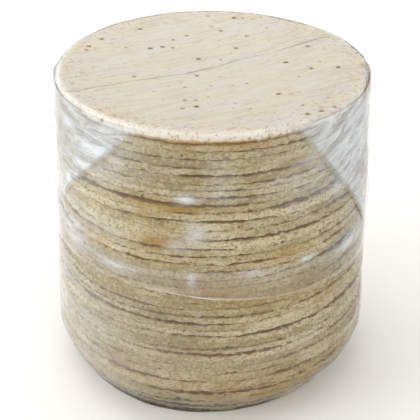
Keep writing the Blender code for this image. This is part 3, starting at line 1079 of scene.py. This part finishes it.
def face_material(settings):
    """The top tortilla: a pale baked face with toasted specks, over a rim like the others'."""
    material, nodes, output = new_material("corn_dough_face")
    place = nodes.object_place()
    rim_grain = place_grain(nodes, place, grit=950, mottle=110, speck=260, size=0.15)
    grain = place_grain(nodes, place, grit=900, mottle=75, speck=235, size=0.21)
    face, relief = face_colours(nodes, place, grain, settings)
    shade = nodes.blend(nodes.mesh_value("face"), dough_colour(nodes, rim_grain, settings), face)
    height = nodes.value("ADD", grain["Height"], nodes.value("MULTIPLY", relief, 1.5))
    dough_shader(nodes, output, shade, height, 0.8)
    return material


CRINKLE_TURN = (math.radians(12), math.radians(-16), 0)


def film_crease_group():
    """Creases of stretched film: streaks along one line, crinkles, and the height of both."""

    def fill(nodes, given):
        place = given["Place"]
        streak = nodes.stretched_noise(place, (60, 4, 20), 3, 0.5, 0.4, turn=STREAK_TURN)
        cling = nodes.stretched_noise(place, (16, 16, 5), 3, 0.55, 0.5)
        clinging = nodes.value("MULTIPLY", cling, given["Cling"])
        height = nodes.value("ADD", nodes.value("MULTIPLY", streak, given["Streaks"]), clinging)
        # Whiter along the streaks: the film's milkiness and a painted streak highlight.
        milk = nodes.value("MULTIPLY", nodes.ramp(streak, 0.52, 0.75), given["Streaks"])
        slanted = nodes.stretched_noise(place, (12, 12, 2.6), 4, 0.6, 0.8, turn=CRINKLE_TURN)
        crinkle = nodes.ramp(slanted, 0.40, 0.60)
        return {"Height": height, "Milk": milk, "Crinkle": crinkle}

    return node_group("film_creases", {"Streaks": 1.0, "Cling": 0.6}, ("Height", "Milk", "Crinkle"), fill)


def film_material(name, settings):
    """Thin clear film: see-through, a little milky, glossy where it turns away; its white veil also
    carries painted reflections and highlights, and its dull veil in places a painted sheen.
    """
    material, nodes, output = new_material(name)
    creases = nodes.add("ShaderNodeGroup", {"Place": nodes.object_place()}, node_tree=film_crease_group())
    bump_node = nodes.add(
        "ShaderNodeBump", {"Height": creases.outputs["Height"], "Strength": 0.35, "Distance": 0.5 * MM},
    )
    normal = bump_node.outputs["Normal"]
    broken = nodes.value("MULTIPLY_ADD", creases.outputs["Crinkle"], 0.7, 0.65)
    haze_and_reflection_here = nodes.value("MULTIPLY", nodes.mesh_value("haze_and_reflection"), broken)
    milk = nodes.value("MULTIPLY_ADD", creases.outputs["Milk"], 0.03, haze_and_reflection_here)
    milk = nodes.value("ADD", milk, settings.veil)
    dull_and_sheen = nodes.mesh_value("dull_and_sheen")
    amount = nodes.value("ADD", milk, dull_and_sheen, clamp=True)
    dull_part = nodes.value("DIVIDE", dull_and_sheen, amount, clamp=True)
    shade = nodes.blend(dull_part, settings.haze_and_reflection_colour, settings.dull_and_sheen_colour)
    veiled = nodes.add("ShaderNodeBsdfPrincipled", {
        "Base Color": shade, "Roughness": 0.35, "Alpha": amount, "Normal": normal,
    })
    gloss = nodes.add("ShaderNodeBsdfGlossy", {
        "Color": (1, 1, 1, 1), "Roughness": 0.10, "Normal": normal,
    })
    fresnel = nodes.add("ShaderNodeFresnel", {"IOR": 1.33, "Normal": normal})
    shine = nodes.add("ShaderNodeMixShader", {
        0: fresnel.outputs["Fac"], 1: veiled.outputs["BSDF"], 2: gloss.outputs["BSDF"],
    })
    nodes.tree.links.new(shine.outputs["Shader"], output.inputs["Surface"])
    return material


def floor_material(settings):
    """Plain pale floor."""
    material, nodes, output = new_material("pale_floor")
    inputs = {"Base Color": (*settings.floor_colour, 1), "Roughness": 0.9}
    shader = nodes.add("ShaderNodeBsdfPrincipled", inputs)
    nodes.tree.links.new(shader.outputs["BSDF"], output.inputs["Surface"])
    return material


# ---- stage

FLOOR_HALF = 6.0
FLOOR_HEIGHT = -0.02 * MM  # just under the film, so that the two don't share a plane
WARM_LIGHT = (1, 0.98, 0.95)
COOL_LIGHT = (0.95, 0.98, 1)


def add_light(name, place, aim, size, watts, tint):
    """A large soft light that points at aim."""
    data = bpy.data.lights.new(name, "AREA")
    data.shape = "RECTANGLE"
    data.size, data.size_y = size
    data.energy = watts
    data.color = tint
    light = add_object(name, data)
    light.location = place
    light.rotation_euler = (Vector(aim) - Vector(place)).to_track_quat("-Z", "Y").to_euler()


class STACK_OT_stage(bpy.types.Operator):
    """Build the floor, the soft light and the camera"""

    bl_idname = "tortilla_stack.stage"
    bl_label = "Stage"

    def execute(self, context):
        scene = context.scene
        settings = scene.tortilla_stage
        square = ((-1, -1), (1, -1), (1, 1), (-1, 1))
        corners = [(x * FLOOR_HALF, y * FLOOR_HALF, FLOOR_HEIGHT) for x, y in square]
        mesh = bpy.data.meshes.new("floor")
        mesh.from_pydata(corners, [], [(0, 1, 2, 3)])
        mesh.materials.append(floor_material(settings))
        floor = add_object("floor", mesh)

        world = bpy.data.worlds.new("soft_room")
        world.use_nodes = True
        background = world.node_tree.nodes["Background"]
        background.inputs["Color"].default_value = (1.0, 0.99, 0.98, 1)
        background.inputs["Strength"].default_value = settings.world_strength
        scene.world = world

        middle = (0, 0, STACK_TOP / 2)
        lights = (
            ("overhead", (-0.15, 0.25, 0.75), (0.7, 0.7), settings.overhead_power, WARM_LIGHT),
            ("window", (-0.75, -0.25, 0.30), (0.5, 0.6), settings.window_power, COOL_LIGHT),
            ("front", (0.25, -1.1, 0.45), (0.9, 0.6), settings.front_power, WARM_LIGHT),
        )
        for name, place, size, watts, tint in lights:
            add_light(name, place, middle, size, watts, tint)

        data = bpy.data.cameras.new("camera")
        data.lens = settings.lens
        camera = add_object("camera", data)
        camera.location = (-settings.camera_left, -settings.camera_back, STACK_TOP + settings.camera_rise)
        camera.rotation_euler = (math.pi / 2 - settings.camera_pitch, 0, 0)
        scene.camera = camera
        scene.view_settings.view_transform = "Standard"
        return {"FINISHED"}


class STACK_PT_panel(bpy.types.Panel):
    """Buttons for every piece of the stack, and its settings"""

    bl_idname = "STACK_PT_panel"
    bl_label = "Corn Tortilla Stack"
    bl_space_type = "VIEW_3D"
    bl_region_type = "UI"
    bl_category = "Tortillas"

    def draw(self, context):
        for operator in OPERATORS:
            self.layout.operator(operator.bl_idname)
        for name, group in SETTINGS:
            box = self.layout.box()
            for key in group.__annotations__:
                box.prop(getattr(context.scene, name), key)


SETTINGS = (
    ("tortilla_dough", DoughSettings),
    ("tortilla_film", FilmSettings),
    ("tortilla_stage", StageSettings),
)
OPERATORS = (
    STACK_OT_tortillas, STACK_OT_top_tortilla, STACK_OT_lower_film, STACK_OT_upper_film, STACK_OT_ears,
    STACK_OT_stage,
)


def register():
    for name, group in SETTINGS:
        bpy.utils.register_class(group)
        setattr(bpy.types.Scene, name, PointerProperty(type=group))
    for operator in OPERATORS:
        bpy.utils.register_class(operator)
    bpy.utils.register_class(STACK_PT_panel)


def unregister():
    bpy.utils.unregister_class(STACK_PT_panel)
    for operator in reversed(OPERATORS):
        bpy.utils.unregister_class(operator)
    for name, group in reversed(SETTINGS):
        delattr(bpy.types.Scene, name)
        bpy.utils.unregister_class(group)


def main():
    register()
    bpy.ops.tortilla_stack.tortillas()
    bpy.ops.tortilla_stack.top_tortilla()
    bpy.ops.tortilla_stack.lower_film()
    bpy.ops.tortilla_stack.upper_film()
    bpy.ops.tortilla_stack.ears()
    bpy.ops.tortilla_stack.stage()


if __name__ == "__main__":
    main()
